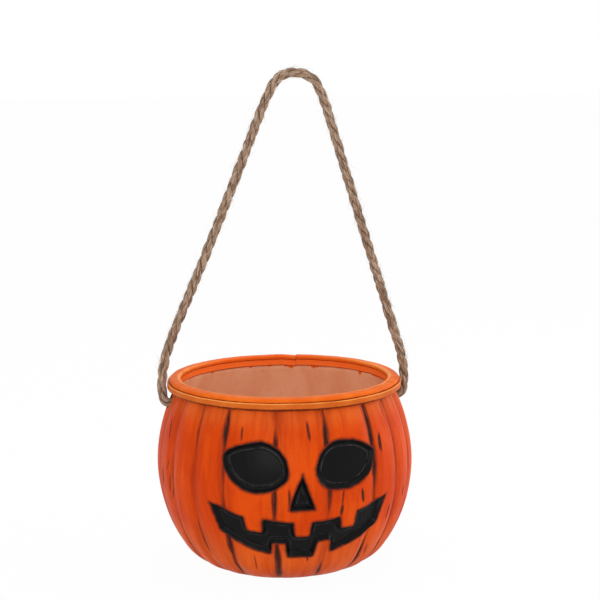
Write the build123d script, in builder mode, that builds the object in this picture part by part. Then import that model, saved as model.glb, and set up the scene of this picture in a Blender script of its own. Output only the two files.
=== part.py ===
from build123d import *

import os
from math import atan2, cos, pi, radians, sin, sqrt, tan

# A pumpkin candy pail: a hollow ribbed shell with a sunk grinning face, an edging
# and a strip round its rim, and a rope handle knotted inside.
# Millimetres, +Z up. The origin is the middle of the flat foot, and the face looks along -Y.

# Shell
belly_radius = 107.5
belly_height = 88.0
foot_radius = 50.5
neck_step = 14.8
neck_height = 149.0
shell_top = 156.5
wall = 3.2
foot_arc_share = 0.789

# Ribs, parted by grooves that run from the foot to the neck
groove_width = 5.0
groove_depth = 1.7
front_lobes = 3
front_lobe_angle = 23.5
other_lobes = 18

# Face, with widths measured round the belly
recess_depth = 4.0
face_height = 80.0
face_near_share = 0.55
face_far_share = 1.12
eye_offset = 39.0
eye_height = 105.5
eye_width = 56.0
eye_tall = 40.0
eye_corner_shares = [(-1, -0.25), (-0.2, 1), (1, 0.4), (0.05, -1)]
eye_bulge_shares = [(-0.78, 0.6), (0.5, 0.84), (0.72, -0.5), (-0.7, -0.84)]
nose_height = 86.0
nose_width = 22.0
nose_tall = 31.0
mouth_half_width = 80.0
mouth_corner_height = 75.0
jowl_half_width = 72.0
jowl_height = 50.0
upper_lip_height = 60.5
lower_lip_height = 28.5
cheek_share = 0.68
tooth_width = 15.0
tooth_tall = 12.0
tooth_pitch = 20.0
tooth_tip_share = 0.8

# Edging over the cut edge of the shell, and the strip round it
edging_leg = 2.1
edging_inner_leg = 1.6
edging_outer_drop = 6.0
edging_inner_drop = 6.9
bead_rise = 2.7
bead_drop = 1.3
bead_overhang = 1.4
bead_inner_overhang = 0.8
bead_slope = 0.9
bead_round = 1.1
strip_thick = 3.3
strip_tall = 4.6
strip_corner_share = 0.3
trim_gap = 0.15
strip_gap = 0.2
seam_width = 0.6
seam_angle = 14.5

# Rope, its knots and its cut ends
rope_diameter = 8.3
rope_hole_height = 140.0
rope_hole_clearance = 2.3
rope_rest_gap = 0.3
exit_bend_radius = 8.3
bend_share = 0.45
knot_width = 20.0
knot_length = 18.0
knot_gap = 3.0
knot_slant = 12.0
tail_reach = 9.0
tail_drop = 15.0
tail_bend_radius = 8.3

# How far a cut runs past what it cuts
overrun = 2.0

# Sizes that follow from those
rope_radius = rope_diameter / 2
foot_to_belly = belly_radius - foot_radius
foot_arc = foot_arc_share * foot_to_belly
lower_reach = foot_to_belly**2 + belly_height**2 - 2 * belly_height * foot_arc
lower_arc = lower_reach / (foot_to_belly - foot_arc) / 2
lower_centre = belly_radius - lower_arc
foot_turn = atan2(belly_height - foot_arc, foot_radius - lower_centre)
neck_rise = neck_height - belly_height
neck_radius = belly_radius - neck_step
upper_arc = (neck_step**2 + neck_rise**2) / (2 * neck_step)
upper_centre = belly_radius - upper_arc
neck_turn = atan2(neck_rise, neck_radius - upper_centre)
neck_bore = upper_centre + (upper_arc - wall) * cos(neck_turn)
slot_inner = neck_bore - trim_gap
slot_outer = neck_radius + trim_gap
edging_inner = slot_inner - edging_inner_leg
edging_outer = slot_outer + edging_leg
bead_inner = edging_inner - bead_inner_overhang
bead_outer = edging_outer + bead_overhang
bead_bottom = shell_top - bead_drop
bead_top = shell_top + bead_rise
strip_inner = edging_outer + trim_gap
strip_outer = strip_inner + strip_thick
strip_top = bead_bottom - strip_gap
rope_leg = strip_outer + rope_rest_gap + rope_radius


def skin_radius(height, inset):
    """The radius of the shell's curved side at a height, set in by the inset."""
    arc, centre = (upper_arc, upper_centre) if height > belly_height else (lower_arc, lower_centre)
    return centre + sqrt((arc - inset) ** 2 - (height - belly_height) ** 2)


def draw_side(inset):
    """The curved side of the shell from foot to neck: three tangent arcs, set in by the inset."""
    foot_edge = (foot_radius, inset)
    joint = (
        lower_centre + (lower_arc - inset) * cos(foot_turn),
        belly_height - (lower_arc - inset) * sin(foot_turn),
    )
    belly = (belly_radius - inset, belly_height)
    neck = (
        upper_centre + (upper_arc - inset) * cos(neck_turn),
        belly_height + (upper_arc - inset) * sin(neck_turn),
    )
    TangentArc(foot_edge, joint, tangent=(1, 0))
    RadiusArc(joint, belly, -(lower_arc - inset))
    TangentArc(belly, neck, tangent=(0, 1))
    return neck


def turn_shell(inset, top, mode=Mode.ADD):
    """The turned body of the shell up to a height, set in by the inset."""
    with BuildSketch(Plane.XZ) as half_section:
        with BuildLine():
            Line((0, inset), (foot_radius, inset))
            neck = draw_side(inset)
            Polyline(neck, (neck[0], top), (0, top), (0, inset))
        make_face()
    revolve(half_section.sketch.faces(), axis=Axis.Z, mode=mode)


def face_point(along, height, share):
    """A point of the face, given round the belly and in height, on a plane at a share of its radius."""
    azimuth = along / belly_radius
    rise = (height - face_height) * belly_radius / (skin_radius(height, 0) * cos(azimuth))
    return (share * belly_radius * tan(azimuth), share * rise)


def add_face_prism(draw, margin):
    """A prism that narrows towards the middle of the pail, so that its walls stand square to the skin."""
    ends = []
    for share in (face_near_share, face_far_share):
        front = Plane(origin=(0, -share * belly_radius, face_height), x_dir=(1, 0, 0), z_dir=(0, -1, 0))
        with BuildSketch(front) as end:
            with BuildLine():
                draw(share, margin)
            make_face()
        ends.append(end.sketch.face())
    loft(ends, ruled=True)


def draw_eye(side, share, margin):
    """An almond eye whose sharp corner points outwards and up."""
    half_width = eye_width / 2 + margin
    half_tall = eye_tall / 2 + margin

    def point(width_share, tall_share):
        along = side * (eye_offset + width_share * half_width)
        return face_point(along, eye_height + tall_share * half_tall, share)

    corners = [point(*shares) for shares in eye_corner_shares]
    bulges = [point(*shares) for shares in eye_bulge_shares]
    for start, bulge, end in zip(corners, bulges, corners[1:] + corners[:1]):
        ThreePointArc(start, bulge, end)


def draw_left_eye(share, margin):
    draw_eye(-1, share, margin)


def draw_right_eye(share, margin):
    draw_eye(1, share, margin)


def draw_nose(share, margin):
    """A tall three-cornered nose."""
    half_width = nose_width / 2 + margin
    half_tall = nose_tall / 2 + margin
    corners = [(0, half_tall), (half_width, -half_tall), (-half_width, -half_tall)]
    Polyline([face_point(along, nose_height + rise, share) for along, rise in corners], close=True)


def upper_lip(along):
    """The height of the mouth's upper edge, which curls up to the corners."""
    return upper_lip_height + (mouth_corner_height - upper_lip_height) * (along / mouth_half_width) ** 2


def lower_lip(along):
    """The height of the mouth's lower edge, which curls up to the jowls."""
    return lower_lip_height + (jowl_height - lower_lip_height) * (along / jowl_half_width) ** 2


def tooth(middle, lip, tall):
    """The four corners of one tooth, from left to right, on the upper or the lower lip."""
    root = tooth_width / 2
    tip = tooth_tip_share * root
    tip_height = lip(middle) + tall
    return [
        (middle - root, lip(middle - root)),
        (middle - tip, tip_height),
        (middle + tip, tip_height),
        (middle + root, lip(middle + root)),
    ]


def draw_mouth(share, margin):
    """A grin with three teeth on the upper lip and two on the lower."""
    cheek = cheek_share * jowl_half_width
    upper = [corner for step in (-2, 0, 2) for corner in tooth(step * tooth_pitch, upper_lip, -tooth_tall)]
    lower = [corner for step in (-1, 1) for corner in tooth(step * tooth_pitch, lower_lip, tooth_tall)]
    outline = [
        (-mouth_half_width, mouth_corner_height),
        *upper,
        (mouth_half_width, mouth_corner_height),
        (jowl_half_width, jowl_height),
        (cheek, lower_lip(cheek)),
        *reversed(lower),
        (-cheek, lower_lip(cheek)),
        (-jowl_half_width, jowl_height),
    ]
    Polyline([face_point(along, height, share) for along, height in outline], close=True)


def draw_mouth_pad(share, margin):
    """The plain grin shape that backs the mouth, without teeth."""
    corner = mouth_half_width + margin
    jowl = jowl_half_width + margin
    cheek = cheek_share * jowl_half_width
    outline = [
        (-corner, mouth_corner_height + margin),
        (-cheek, upper_lip(cheek) + margin),
        (0, upper_lip_height + margin),
        (cheek, upper_lip(cheek) + margin),
        (corner, mouth_corner_height + margin),
        (jowl, jowl_height - margin),
        (cheek, lower_lip(cheek) - margin),
        (tooth_pitch, lower_lip(tooth_pitch) - margin),
        (-tooth_pitch, lower_lip(tooth_pitch) - margin),
        (-cheek, lower_lip(cheek) - margin),
        (-jowl, jowl_height - margin),
    ]
    Polyline([face_point(along, height, share) for along, height in outline], close=True)


def cut_seam(inner, outer, bottom, top):
    """The butt joint of a trim ring, near the back."""
    with BuildSketch(Plane.XY.offset(bottom - overrun)) as slit:
        with PolarLocations((inner + outer) / 2, 1, start_angle=90 - seam_angle):
            Rectangle(outer - inner + 2 * overrun, seam_width)
    extrude(slit.sketch.faces(), amount=top - bottom + 2 * overrun, mode=Mode.SUBTRACT)


def bend_radii(points):
    """The largest even bend at each inner point of a route: a share of its shorter run."""
    radii = []
    for before, here, after in zip(points, points[1:], points[2:]):
        run_in = Vector(*here) - Vector(*before)
        run_out = Vector(*after) - Vector(*here)
        half_turn = radians(run_in.get_angle(run_out)) / 2
        radii.append(bend_share * min(run_in.length, run_out.length) / tan(half_turn))
    return radii


# One groove, along the side that faces +X
with BuildPart() as groove:
    with BuildLine(Plane.XZ) as groove_line:
        draw_side(0)
    mouth_half = groove_width / 2 * (groove_depth + overrun) / groove_depth
    with BuildSketch(Plane(origin=(foot_radius, 0, 0), x_dir=(0, 1, 0), z_dir=(1, 0, 0))):
        with BuildLine():
            Polyline((0, groove_depth), (mouth_half, -overrun), (-mouth_half, -overrun), close=True)
        make_face()
    sweep(transition=Transition.RIGHT)

# The sunk face, down to the recess depth
with BuildPart() as face_recess:
    for draw_feature in (draw_left_eye, draw_right_eye, draw_nose, draw_mouth):
        add_face_prism(draw_feature, 0)
    turn_shell(recess_depth, shell_top, Mode.SUBTRACT)

# The backs of the sunk face, which keep the wall behind it
with BuildPart() as face_pads:
    for draw_feature in (draw_left_eye, draw_right_eye, draw_nose, draw_mouth_pad):
        add_face_prism(draw_feature, wall)
    turn_shell(wall, shell_top, Mode.INTERSECT)
    turn_shell(wall + recess_depth, shell_top, Mode.SUBTRACT)

# The grooves beside the front ribs, then the others spread over the rest of the round
front_span = front_lobes * front_lobe_angle
other_angle = (360 - front_span) / other_lobes
groove_angles = [front_lobe_angle * step - front_span / 2 for step in range(front_lobes + 1)]
groove_angles += [front_span / 2 + other_angle * step for step in range(1, other_lobes)]

with BuildPart() as pail_shell:
    turn_shell(0, shell_top)
    turn_shell(wall, shell_top + overrun, Mode.SUBTRACT)
    add(face_pads.part)
    add(face_recess.part, mode=Mode.SUBTRACT)
    for angle in groove_angles:
        add(groove.part, rotation=(0, 0, angle - 90), mode=Mode.SUBTRACT)
    with BuildSketch(Plane.YZ):
        with Locations((0, rope_hole_height)):
            Circle(rope_radius + rope_hole_clearance)
    extrude(amount=belly_radius + overrun, both=True, mode=Mode.SUBTRACT)
pail_shell.part.label = "pail_shell"

# Edging: a bead with two legs that straddle the cut edge of the shell
with BuildPart() as rim_cap:
    with BuildSketch(Plane.XZ) as edging_section:
        with BuildLine():
            Polyline(
                (bead_inner, bead_bottom),
                (bead_outer, bead_bottom),
                (bead_outer, bead_top - bead_slope),
                (bead_inner, bead_top),
                close=True,
            )
        make_face()
        fillet(edging_section.vertices().sort_by(Axis.Y)[2:], bead_round)
        with Locations((slot_outer, shell_top)):
            Rectangle(edging_leg, edging_outer_drop, align=(Align.MIN, Align.MAX))
        with Locations((slot_inner, shell_top)):
            Rectangle(edging_inner_leg, edging_inner_drop, align=(Align.MAX, Align.MAX))
        with Locations((slot_inner, shell_top)):
            Rectangle(
                slot_outer - slot_inner,
                edging_outer_drop,
                align=(Align.MIN, Align.MAX),
                mode=Mode.SUBTRACT,
            )
    revolve(axis=Axis.Z)
    cut_seam(bead_inner, bead_outer, shell_top - edging_inner_drop, bead_top)
rim_cap.part.label = "rim_cap"

# Strip round the outer leg of the edging
with BuildPart() as rim_band:
    with BuildSketch(Plane.XZ):
        with Locations(((strip_inner + strip_outer) / 2, strip_top - strip_tall / 2)):
            RectangleRounded(strip_thick, strip_tall, strip_corner_share * strip_thick)
    revolve(axis=Axis.Z)
    cut_seam(strip_inner, strip_outer, strip_top - strip_tall, strip_top)
rim_band.part.label = "rim_band"

# Rope: up out of the left hole, past the strip, over the top and down to the right hole
slant = radians(knot_slant)
knot_face = skin_radius(rope_hole_height, wall) - knot_gap
hole_middle = skin_radius(rope_hole_height, wall / 2)
knot_height = rope_hole_height - (hole_middle - knot_face) * tan(slant)
exit_height = rope_hole_height + (rope_leg - hole_middle) * tan(slant)
rope_route = [
    (-knot_face, knot_height),
    (-rope_leg, exit_height),
    (-rope_leg, 163.0),
    (-97.5, 186.0),
    (-64.9, 261.3),
    (-35.6, 333.7),
    (-8.6, 403.3),
    (4.2, 411.6),
    (19.5, 410.9),
    (31.6, 401.5),
    (45.2, 355.7),
    (69.5, 275.1),
    (95.3, 191.0),
    (rope_leg, 167.0),
    (rope_leg, exit_height),
    (knot_face, knot_height),
]
rope_bends = bend_radii(rope_route)
rope_bends[0] = exit_bend_radius
rope_bends[-1] = exit_bend_radius

with BuildPart() as rope_handle:
    with BuildLine(Plane.XZ) as rope_line:
        FilletPolyline(*rope_route, radius=rope_bends)
    with BuildSketch(Plane(origin=(-knot_face, 0, knot_height), z_dir=(-cos(slant), 0, sin(slant)))):
        Circle(rope_radius)
    sweep()
rope_handle.part.label = "rope_handle"

# Stopper knots: round bulges on the rope, inside the holes and in line with it
knots = {}
tails = {}
knot_end = knot_face - knot_length * cos(slant)
knot_end_height = knot_height - knot_length * sin(slant)
tail_end = knot_end - tail_reach * cos(slant)
tail_height = knot_end_height - tail_reach * sin(slant)
for name, side in (("left", -1), ("right", 1)):
    inward = (-side * cos(slant), 0, -sin(slant))
    knot_plane = Plane(origin=(side * knot_face, 0, knot_height), x_dir=inward, z_dir=(0, side, 0))
    with BuildPart() as rope_knot:
        with BuildSketch(knot_plane):
            with BuildLine():
                outer_neck = (0, rope_radius)
                crown = (knot_length / 2, knot_width / 2)
                inner_neck = (knot_length, rope_radius)
                ThreePointArc(outer_neck, crown, inner_neck)
                Polyline(inner_neck, (knot_length, 0), (0, 0), outer_neck)
            make_face()
        revolve(axis=Axis(knot_plane.origin, knot_plane.x_dir))
    rope_knot.part.label = f"rope_knot_{name}"
    knots[name] = rope_knot.part

    # The cut end of the rope, which leaves the knot and hangs down
    with BuildPart() as rope_tail:
        with BuildLine(Plane.XZ):
            FilletPolyline(
                (side * knot_end, knot_end_height),
                (side * tail_end, tail_height),
                (side * tail_end, tail_height - tail_drop),
                radius=tail_bend_radius,
            )
        with BuildSketch(Plane(origin=(side * knot_end, 0, knot_end_height), z_dir=inward)):
            Circle(rope_radius)
        sweep()
    rope_tail.part.label = f"rope_tail_{name}"
    tails[name] = rope_tail.part

rope_length = rope_line.wire().length
rope_volume = pi * rope_radius**2 * rope_length
print("rope bend radii", [round(radius, 1) for radius in rope_bends])
print("rope length", round(rope_length, 1))
print("volume over section times length", rope_handle.part.volume / rope_volume)

os.makedirs("parts", exist_ok=True)
export_step(pail_shell.part, "parts/pail_shell.step")
export_step(rim_cap.part, "parts/rim_cap.step")
export_step(rim_band.part, "parts/rim_band.step")
export_step(rope_handle.part, "parts/rope_handle.step")
for name in knots:
    export_step(knots[name], f"parts/rope_knot_{name}.step")
    export_step(tails[name], f"parts/rope_tail_{name}.step")
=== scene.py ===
from math import atan2, ceil, cos, pi, radians, sin, tan

import bpy
import numpy as np
from mathutils import Matrix, Quaternion, Vector, noise


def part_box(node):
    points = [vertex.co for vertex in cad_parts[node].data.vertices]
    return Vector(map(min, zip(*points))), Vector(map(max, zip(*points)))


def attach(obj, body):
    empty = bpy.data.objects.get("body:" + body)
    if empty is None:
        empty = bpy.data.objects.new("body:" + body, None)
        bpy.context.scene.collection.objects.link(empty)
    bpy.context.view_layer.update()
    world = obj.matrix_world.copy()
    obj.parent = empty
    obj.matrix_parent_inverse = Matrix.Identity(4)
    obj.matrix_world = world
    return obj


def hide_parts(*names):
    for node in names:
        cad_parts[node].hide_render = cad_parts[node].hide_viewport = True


# A pumpkin candy pail: a painted ribbed shell with a sunk face, an edging and a strip
# round its rim, and a rope handle knotted inside. Metres, in the frame of the CAD model.
# Azimuth runs round the pail from its front, -Y, towards +X.

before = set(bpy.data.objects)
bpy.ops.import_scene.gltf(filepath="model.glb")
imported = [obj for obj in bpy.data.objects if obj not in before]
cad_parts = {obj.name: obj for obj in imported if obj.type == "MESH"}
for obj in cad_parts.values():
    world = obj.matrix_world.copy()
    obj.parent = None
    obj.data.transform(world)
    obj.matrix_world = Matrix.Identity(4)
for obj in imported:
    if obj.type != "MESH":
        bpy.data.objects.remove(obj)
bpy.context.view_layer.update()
scene = bpy.context.scene
SEED = 31
chance = np.random.default_rng(SEED)
# Blender draws noise_vector from the clock until it has a seed
noise.seed_set(SEED)

# Camera
CAMERA_PLACE = (-0.1774, -1.3476, 0.4356)
CAMERA_HEADING = radians(8.085)
CAMERA_DIP = radians(8.911)
CAMERA_ROLL = radians(-0.400)
CAMERA_LENS = 98.6
CAMERA_REACH = 100.0

# Rope handle, with the route's points across and up
rope_low, rope_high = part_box("rope_handle")
_, knot_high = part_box("rope_knot_right")
ROPE_DIAMETER = 0.0083
ROPE_RADIUS = ROPE_DIAMETER / 2
ROPE_LEG = rope_high.x - ROPE_RADIUS
HOLE_HEIGHT = 0.140
HOLE_RADIUS = 0.00645
KNOT_SLANT = radians(12)
KNOT_LENGTH = 0.018
KNOT_WIDTH = 0.020
KNOT_FACE = knot_high.x - ROPE_RADIUS * sin(KNOT_SLANT)
KNOT_HEIGHT = rope_low.z + ROPE_RADIUS * cos(KNOT_SLANT)
EXIT_HEIGHT = KNOT_HEIGHT + (ROPE_LEG - KNOT_FACE) * tan(KNOT_SLANT)
LEG_DIP = 0.0060
ROPE_ROUTE = [
    (-KNOT_FACE, KNOT_HEIGHT),
    (-ROPE_LEG, EXIT_HEIGHT - LEG_DIP),
    (-ROPE_LEG, 0.1630),
    (-0.0975, 0.1860),
    (-0.0649, 0.2613),
    (-0.0356, 0.3337),
    (-0.0086, 0.4033),
    (0.0042, 0.4116),
    (0.0195, 0.4109),
    (0.0316, 0.4015),
    (0.0452, 0.3557),
    (0.0695, 0.2751),
    (0.0953, 0.1910),
    (ROPE_LEG, 0.1670),
    (ROPE_LEG, EXIT_HEIGHT - LEG_DIP),
    (KNOT_FACE, KNOT_HEIGHT),
]
TAIL_REACH = 0.009
TAIL_DROP = 0.015
CURVE_STEPS = 64

# Its strands and knots; a pace and a row say where the noise is read
STRANDS = 3
STRAND_SHARE = 0.545
STRAND_STEP = 0.0007
STRAND_SIDES = 28
STRAND_SWELL = 0.16
STRAND_SWELL_PACE = 75
STRAND_SWELL_ROW = 20
STRAND_SLACK = 0.35
STRAND_SLACK_PACE = 110
LAY_LENGTH = -0.033
LAY_SLACK = 1.1
LAY_SLACK_PACE = 30
LAY_SLACK_ROW = 40
YARNS = 7
YARN_LAY = 0.017
YARN_RIDGE_SHARE = 0.17
NOISE_ROW_GAP = 7.3
NOISE_LAYER = 7.5
GRAIN_PACE = 60
GRAIN_SHIFT = 40
KNOT_TURNS = 2.25
KNOT_STEPS = 121
KNOT_ROPE_SHARE = 0.86
KNOT_ROPE_DIAMETER = KNOT_ROPE_SHARE * ROPE_DIAMETER
KNOT_END_SHARE = 0.3
KNOT_EASE = 0.12

# Its stray fibres; a pair has the least and the most
ROPE_FIBRES = 2600
TAIL_FIBRES = 120
ROPE_BARE = 0.034
TAIL_BARE = 0.002
FRAY_FREE = 0.24
FIBRE_LENGTH = 0.009
FIBRE_LENGTH_SHARES = (0.3, 1.0)
FIBRE_SHORTNESS = 1.5
FIBRE_ROOT_SHARES = (0.34, 0.47)
FIBRE_LIFTS = (0.1, 0.75)
FIBRE_SPREAD = 0.35
FIBRE_CURL = 0.5
FIBRE_DROOP = 0.25
FIBRE_BEND = 0.6
FIBRE_RADIUS = 0.00007
FIBRE_TAPER = 1.15
FIBRE_RINGS = 5
FIBRE_SIDES = 3
FIBRE_GRAIN = 300

# Shell, as the CAD model has it
BELLY_RADIUS = 0.1075
BELLY_HEIGHT = 0.088
FOOT_RADIUS = 0.0505
NECK_RADIUS = 0.0927
NECK_HEIGHT = 0.149
SHELL_TOP = 0.1565
WALL = 0.0032
FOOT_ARC_SHARE = 0.789
FOOT_ARC = FOOT_ARC_SHARE * (BELLY_RADIUS - FOOT_RADIUS)
FRONT_LOBES = 3
FRONT_LOBE_ANGLE = radians(23.5)
OTHER_LOBES = 18

# Face
RECESS_DEPTH = 0.004
RECESS_SLOPE = 0.0034
RIDGE_INSET = 0.0046
RIDGE_WIDTH = 0.0009
RIDGE_RISE = 0.0004
EYE_OFFSET = 0.039
EYE_HEIGHT = 0.1055
EYE_WIDTH = 0.056
EYE_TALL = 0.040
EYE_CORNER_SHARES = [(-1, -0.25), (-0.2, 1), (1, 0.4), (0.05, -1)]
EYE_BULGE_SHARES = [(-0.78, 0.6), (0.5, 0.84), (0.72, -0.5), (-0.7, -0.84)]
NOSE_HEIGHT = 0.086
NOSE_WIDTH = 0.022
NOSE_TALL = 0.031
MOUTH_HALF_WIDTH = 0.080
MOUTH_CORNER_HEIGHT = 0.075
JOWL_HALF_WIDTH = 0.072
JOWL_HEIGHT = 0.050
UPPER_LIP_HEIGHT = 0.0605
LOWER_LIP_HEIGHT = 0.0285
TOOTH_WIDTH = 0.015
TOOTH_TALL = 0.012
TOOTH_PITCH = 0.020
TOOTH_TIP_SHARE = 0.8
UPPER_TEETH = (-2, 0, 2)
LOWER_TEETH = (-1, 1)
LIP_STEPS = 33
BOW_STEPS = 12
CORNER_CUT = 0.0024
CORNER_CUT_SHARE = 0.45
CORNER_POINTS = 6
CORNER_TURN = radians(25)

# Surface of the shell; a pair is a base and what noise adds, or for nicks least and most
ROW_STEP = 0.0005
INNER_ROW_STEP = 0.003
FOOT_ROWS = 10
NECK_ROWS = 6
HOLE_SIDES = 64
FRONT_REACH = radians(52)
FRONT_STEP = radians(0.3)
OTHER_STEP = radians(0.6)
VALLEY_DEPTH = 0.0014
VALLEY_WIDTH = 0.0055
CRACK_DEPTH = 0.0010
CRACK_WIDTH = 0.0011
CRACK_SHARES = (0.3, 0.7)
GROOVE_WANDER = radians(0.8)
GROOVE_WANDER_NOISE = (5.7, 28, 0.4)
INK_NOISE = (3.3, 32, 8.8)
FRONT_INK_SHARES = (0.62, 1.3)
OTHER_INK_SHARES = (0.3, 0.6)
LEAST_INK = 0.04
INK_WIDTH_SHARES = (0.8, 1.5)
HAND_WARP = 0.0013
HAND_WARP_PACE = 55
HAND_WARP_LAYER = 3.1
UNEVENNESS = 0.00035
UNEVENNESS_PACE = 30
NICKS = 64
NICK_DEPTH = 0.0006
NICK_LEVELS = (0.02, 0.142)
NICK_LENGTHS = (0.003, 0.009)
NICK_WIDTHS = (0.0008, 0.0015)
NICK_WEIGHTS = (0.5, 1.0)
NICK_LEAN = 0.12
FACE_MARGIN_SHARE = 0.4
FOOT_FADE = 0.012
NECK_FADE = 0.008
NECK_BARE = 0.002
BRUSH_CLIMB_SHARE = 0.12

# Rim
_, rim_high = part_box("rim_cap")
strip_low, strip_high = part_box("rim_band")
BEAD_OUTER = rim_high.x
BEAD_RISE = 0.0027
BEAD_TOP = SHELL_TOP + BEAD_RISE
BEAD_DROP = 0.0013
BEAD_INNER = 0.08695
LEG_THICK = 0.0016
BEAD_OVERHANG = 0.0008
LEG_INNER = BEAD_INNER + BEAD_OVERHANG
LEG_DROP = 0.0069
BEAD_SLOPE = 0.0009
BEAD_INNER_ROUND = 0.0023
BEAD_OUTER_ROUND = 0.0018
EDGE_ROUND = 0.0003
STRIP_ROUND = 0.0006
JOINT_REACH = 0.0011
# Reach and darkness of the painted shadow line on the shell under the strip
UNDER_STRIP_REACH = 0.0036
UNDER_STRIP_INK = 0.85
# Reaches of the painted highlights on the bead's crest and the strip's shoulder
CREST_REACH = 0.0028
SHOULDER_REACH = 0.0011
STRIP_RISE = 0.0003
STRIP_OUTER = strip_high.x
STRIP_THICK = 0.0033
SEAM_AZIMUTH = radians(180 - 14.5)
SEAM_GAP = 0.0001
SEAM_LIFT = 0.0008
SEAM_REACH = radians(9)
DRIP_DROP = 0.0045
DRIP_EDGE = 0.0004
RIM_WAVE = 0.00028
RIM_WAVE_PACE = 5
RIM_RIPPLE = 0.00012
RIM_RIPPLE_PACE = 22
RIM_SWELL = 0.00025
RIM_SWELL_PACE = 9
RIM_SWELL_LAYER = 40
RIM_STEPS = 580
CORNER_STEPS = 7
SECTION_STEP = 0.0004

# Studio
WHITE = (1, 1, 1, 1)
RAYS_SEEN = ("Camera", "Glossy", "Transmission")
FLOOR_REACH = 12.0
FLOOR_GAP = 0.0002
FLOOR_COLOUR = (0.9, 0.9, 0.9, 1)
FLOOR_WHITE_SHARE = 0.97
HORIZON_LIGHT = 0.62
ZENITH_LIGHT = 0.78
LIGHTS = [
    ("key_light", (-0.4, -1.4, 0.55), 1.0, 7),
    ("top_light", (0.3, 0.3, 1.5), 1.0, 4),
    ("side_light", (1.3, 0.1, 0.5), 0.8, 6),
]


def tint(red, green, blue):
    """A colour given in 8-bit sRGB, as the linear values that shaders take."""
    shares = [value / 255 for value in (red, green, blue)]
    return (*(s / 12.92 if s < 0.04045 else ((s + 0.055) / 1.055) ** 2.4 for s in shares), 1)


def smooth(values):
    """An eased step from 0 to 1."""
    values = np.clip(values, 0, 1)
    return values * values * (3 - 2 * values)


def unit(vectors):
    return vectors / np.linalg.norm(vectors, axis=-1, keepdims=True)


def add_camera():
    data = bpy.data.cameras.new("camera")
    data.lens = CAMERA_LENS
    data.clip_end = CAMERA_REACH
    camera = bpy.data.objects.new("camera", data)
    look = Vector((sin(CAMERA_HEADING), cos(CAMERA_HEADING), 0)) * cos(CAMERA_DIP)
    look.z = -sin(CAMERA_DIP)
    turn = look.to_track_quat("-Z", "Y") @ Quaternion((0, 0, 1), CAMERA_ROLL)
    camera.matrix_world = Matrix.LocRotScale(Vector(CAMERA_PLACE), turn, None)
    scene.collection.objects.link(camera)
    scene.camera = camera


def make_piece(name, points, faces, materials, indices=None, **attributes):
    """A smooth mesh object, with values at its points for its materials."""
    mesh = bpy.data.meshes.new(name)
    mesh.from_pydata(np.asarray(points).tolist(), [], [list(face) for face in faces])
    for label, values in attributes.items():
        values = np.asarray(values, dtype=np.float32)
        kind, slot = ("FLOAT_VECTOR", "vector") if values.ndim == 2 else ("FLOAT", "value")
        mesh.attributes.new(label, kind, "POINT").data.foreach_set(slot, values.ravel())
    for material in materials:
        mesh.materials.append(material)
    if indices is not None:
        mesh.polygons.foreach_set("material_index", np.asarray(indices, dtype=np.int32))
    mesh.polygons.foreach_set("use_smooth", np.ones(len(mesh.polygons), dtype=bool))
    piece = bpy.data.objects.new(name, mesh)
    scene.collection.objects.link(piece)
    return piece


def strip_faces(rows, columns, first=0, closed=True):
    """Quads between neighbouring rows of points; closed joins the last column to the first."""
    across = columns if closed else columns - 1
    row, column = np.meshgrid(np.arange(rows - 1), np.arange(across), indexing="ij")
    here = first + row * columns + column
    beside = first + row * columns + (column + 1) % columns
    quads = np.stack([here, beside, beside + columns, here + columns], axis=-1)
    return quads.reshape(-1, 4).tolist()


# Shader building


class Paint:
    """The nodes of a material or of the world, with short ways to add what they need."""

    def __init__(self, owner):
        self.owner = owner
        owner.use_nodes = True
        self.tree = owner.node_tree
        self.shader = self.tree.nodes.get("Principled BSDF")

    def add(self, kind, inputs, output=0, **settings):
        node = self.tree.nodes.new("ShaderNode" + kind)
        for name, value in settings.items():
            setattr(node, name, value)
        for name, value in inputs.items():
            self.put(node.inputs[name], value)
        return node.outputs[output]

    def put(self, socket, value):
        if isinstance(value, bpy.types.NodeSocket):
            self.tree.links.new(value, socket)
        else:
            socket.default_value = value

    def set(self, **inputs):
        for name, value in inputs.items():
            self.put(self.shader.inputs[name.replace("_", " ")], value)

    def value(self, name):
        return self.add("Attribute", {}, 2, attribute_name=name)

    def vector(self, name):
        return self.add("Attribute", {}, 1, attribute_name=name)

    def place(self):
        return self.add("TexCoord", {}, 3)

    def height(self):
        return self.add("SeparateXYZ", {0: self.place()}, 2)

    def noise(self, vector, scale, detail=4.0, rough=0.55):
        inputs = {"Vector": vector, "Scale": scale, "Detail": detail, "Roughness": rough}
        return self.add("TexNoise", inputs)

    def ramp(self, value, low, high, start=0.0, end=1.0):
        inputs = {"Value": value, "From Min": low, "From Max": high, "To Min": start, "To Max": end}
        return self.add("MapRange", inputs, interpolation_type="SMOOTHSTEP")

    def math(self, operation, first, second):
        return self.add("Math", {0: first, 1: second}, operation=operation)

    def mix(self, share, first, second):
        return self.add("Mix", {0: share, 6: first, 7: second}, 2, data_type="RGBA")

    def bump(self, height, strength, distance, normal=None):
        inputs = {"Height": height, "Strength": strength, "Distance": distance}
        if normal is not None:
            inputs["Normal"] = normal
        return self.add("Bump", inputs)

    def seen(self):
        """1 for what the camera, a gloss or a clear surface sees, and 0 for light on the object."""
        camera, gloss, clear = (self.add("LightPath", {}, f"Is {kind} Ray") for kind in RAYS_SEEN)
        return self.math("MAXIMUM", self.math("MAXIMUM", camera, gloss), clear)

    def end(self, kind, shader):
        output = self.tree.nodes[f"{kind} Output"]
        self.tree.links.new(shader, output.inputs["Surface"])


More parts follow.
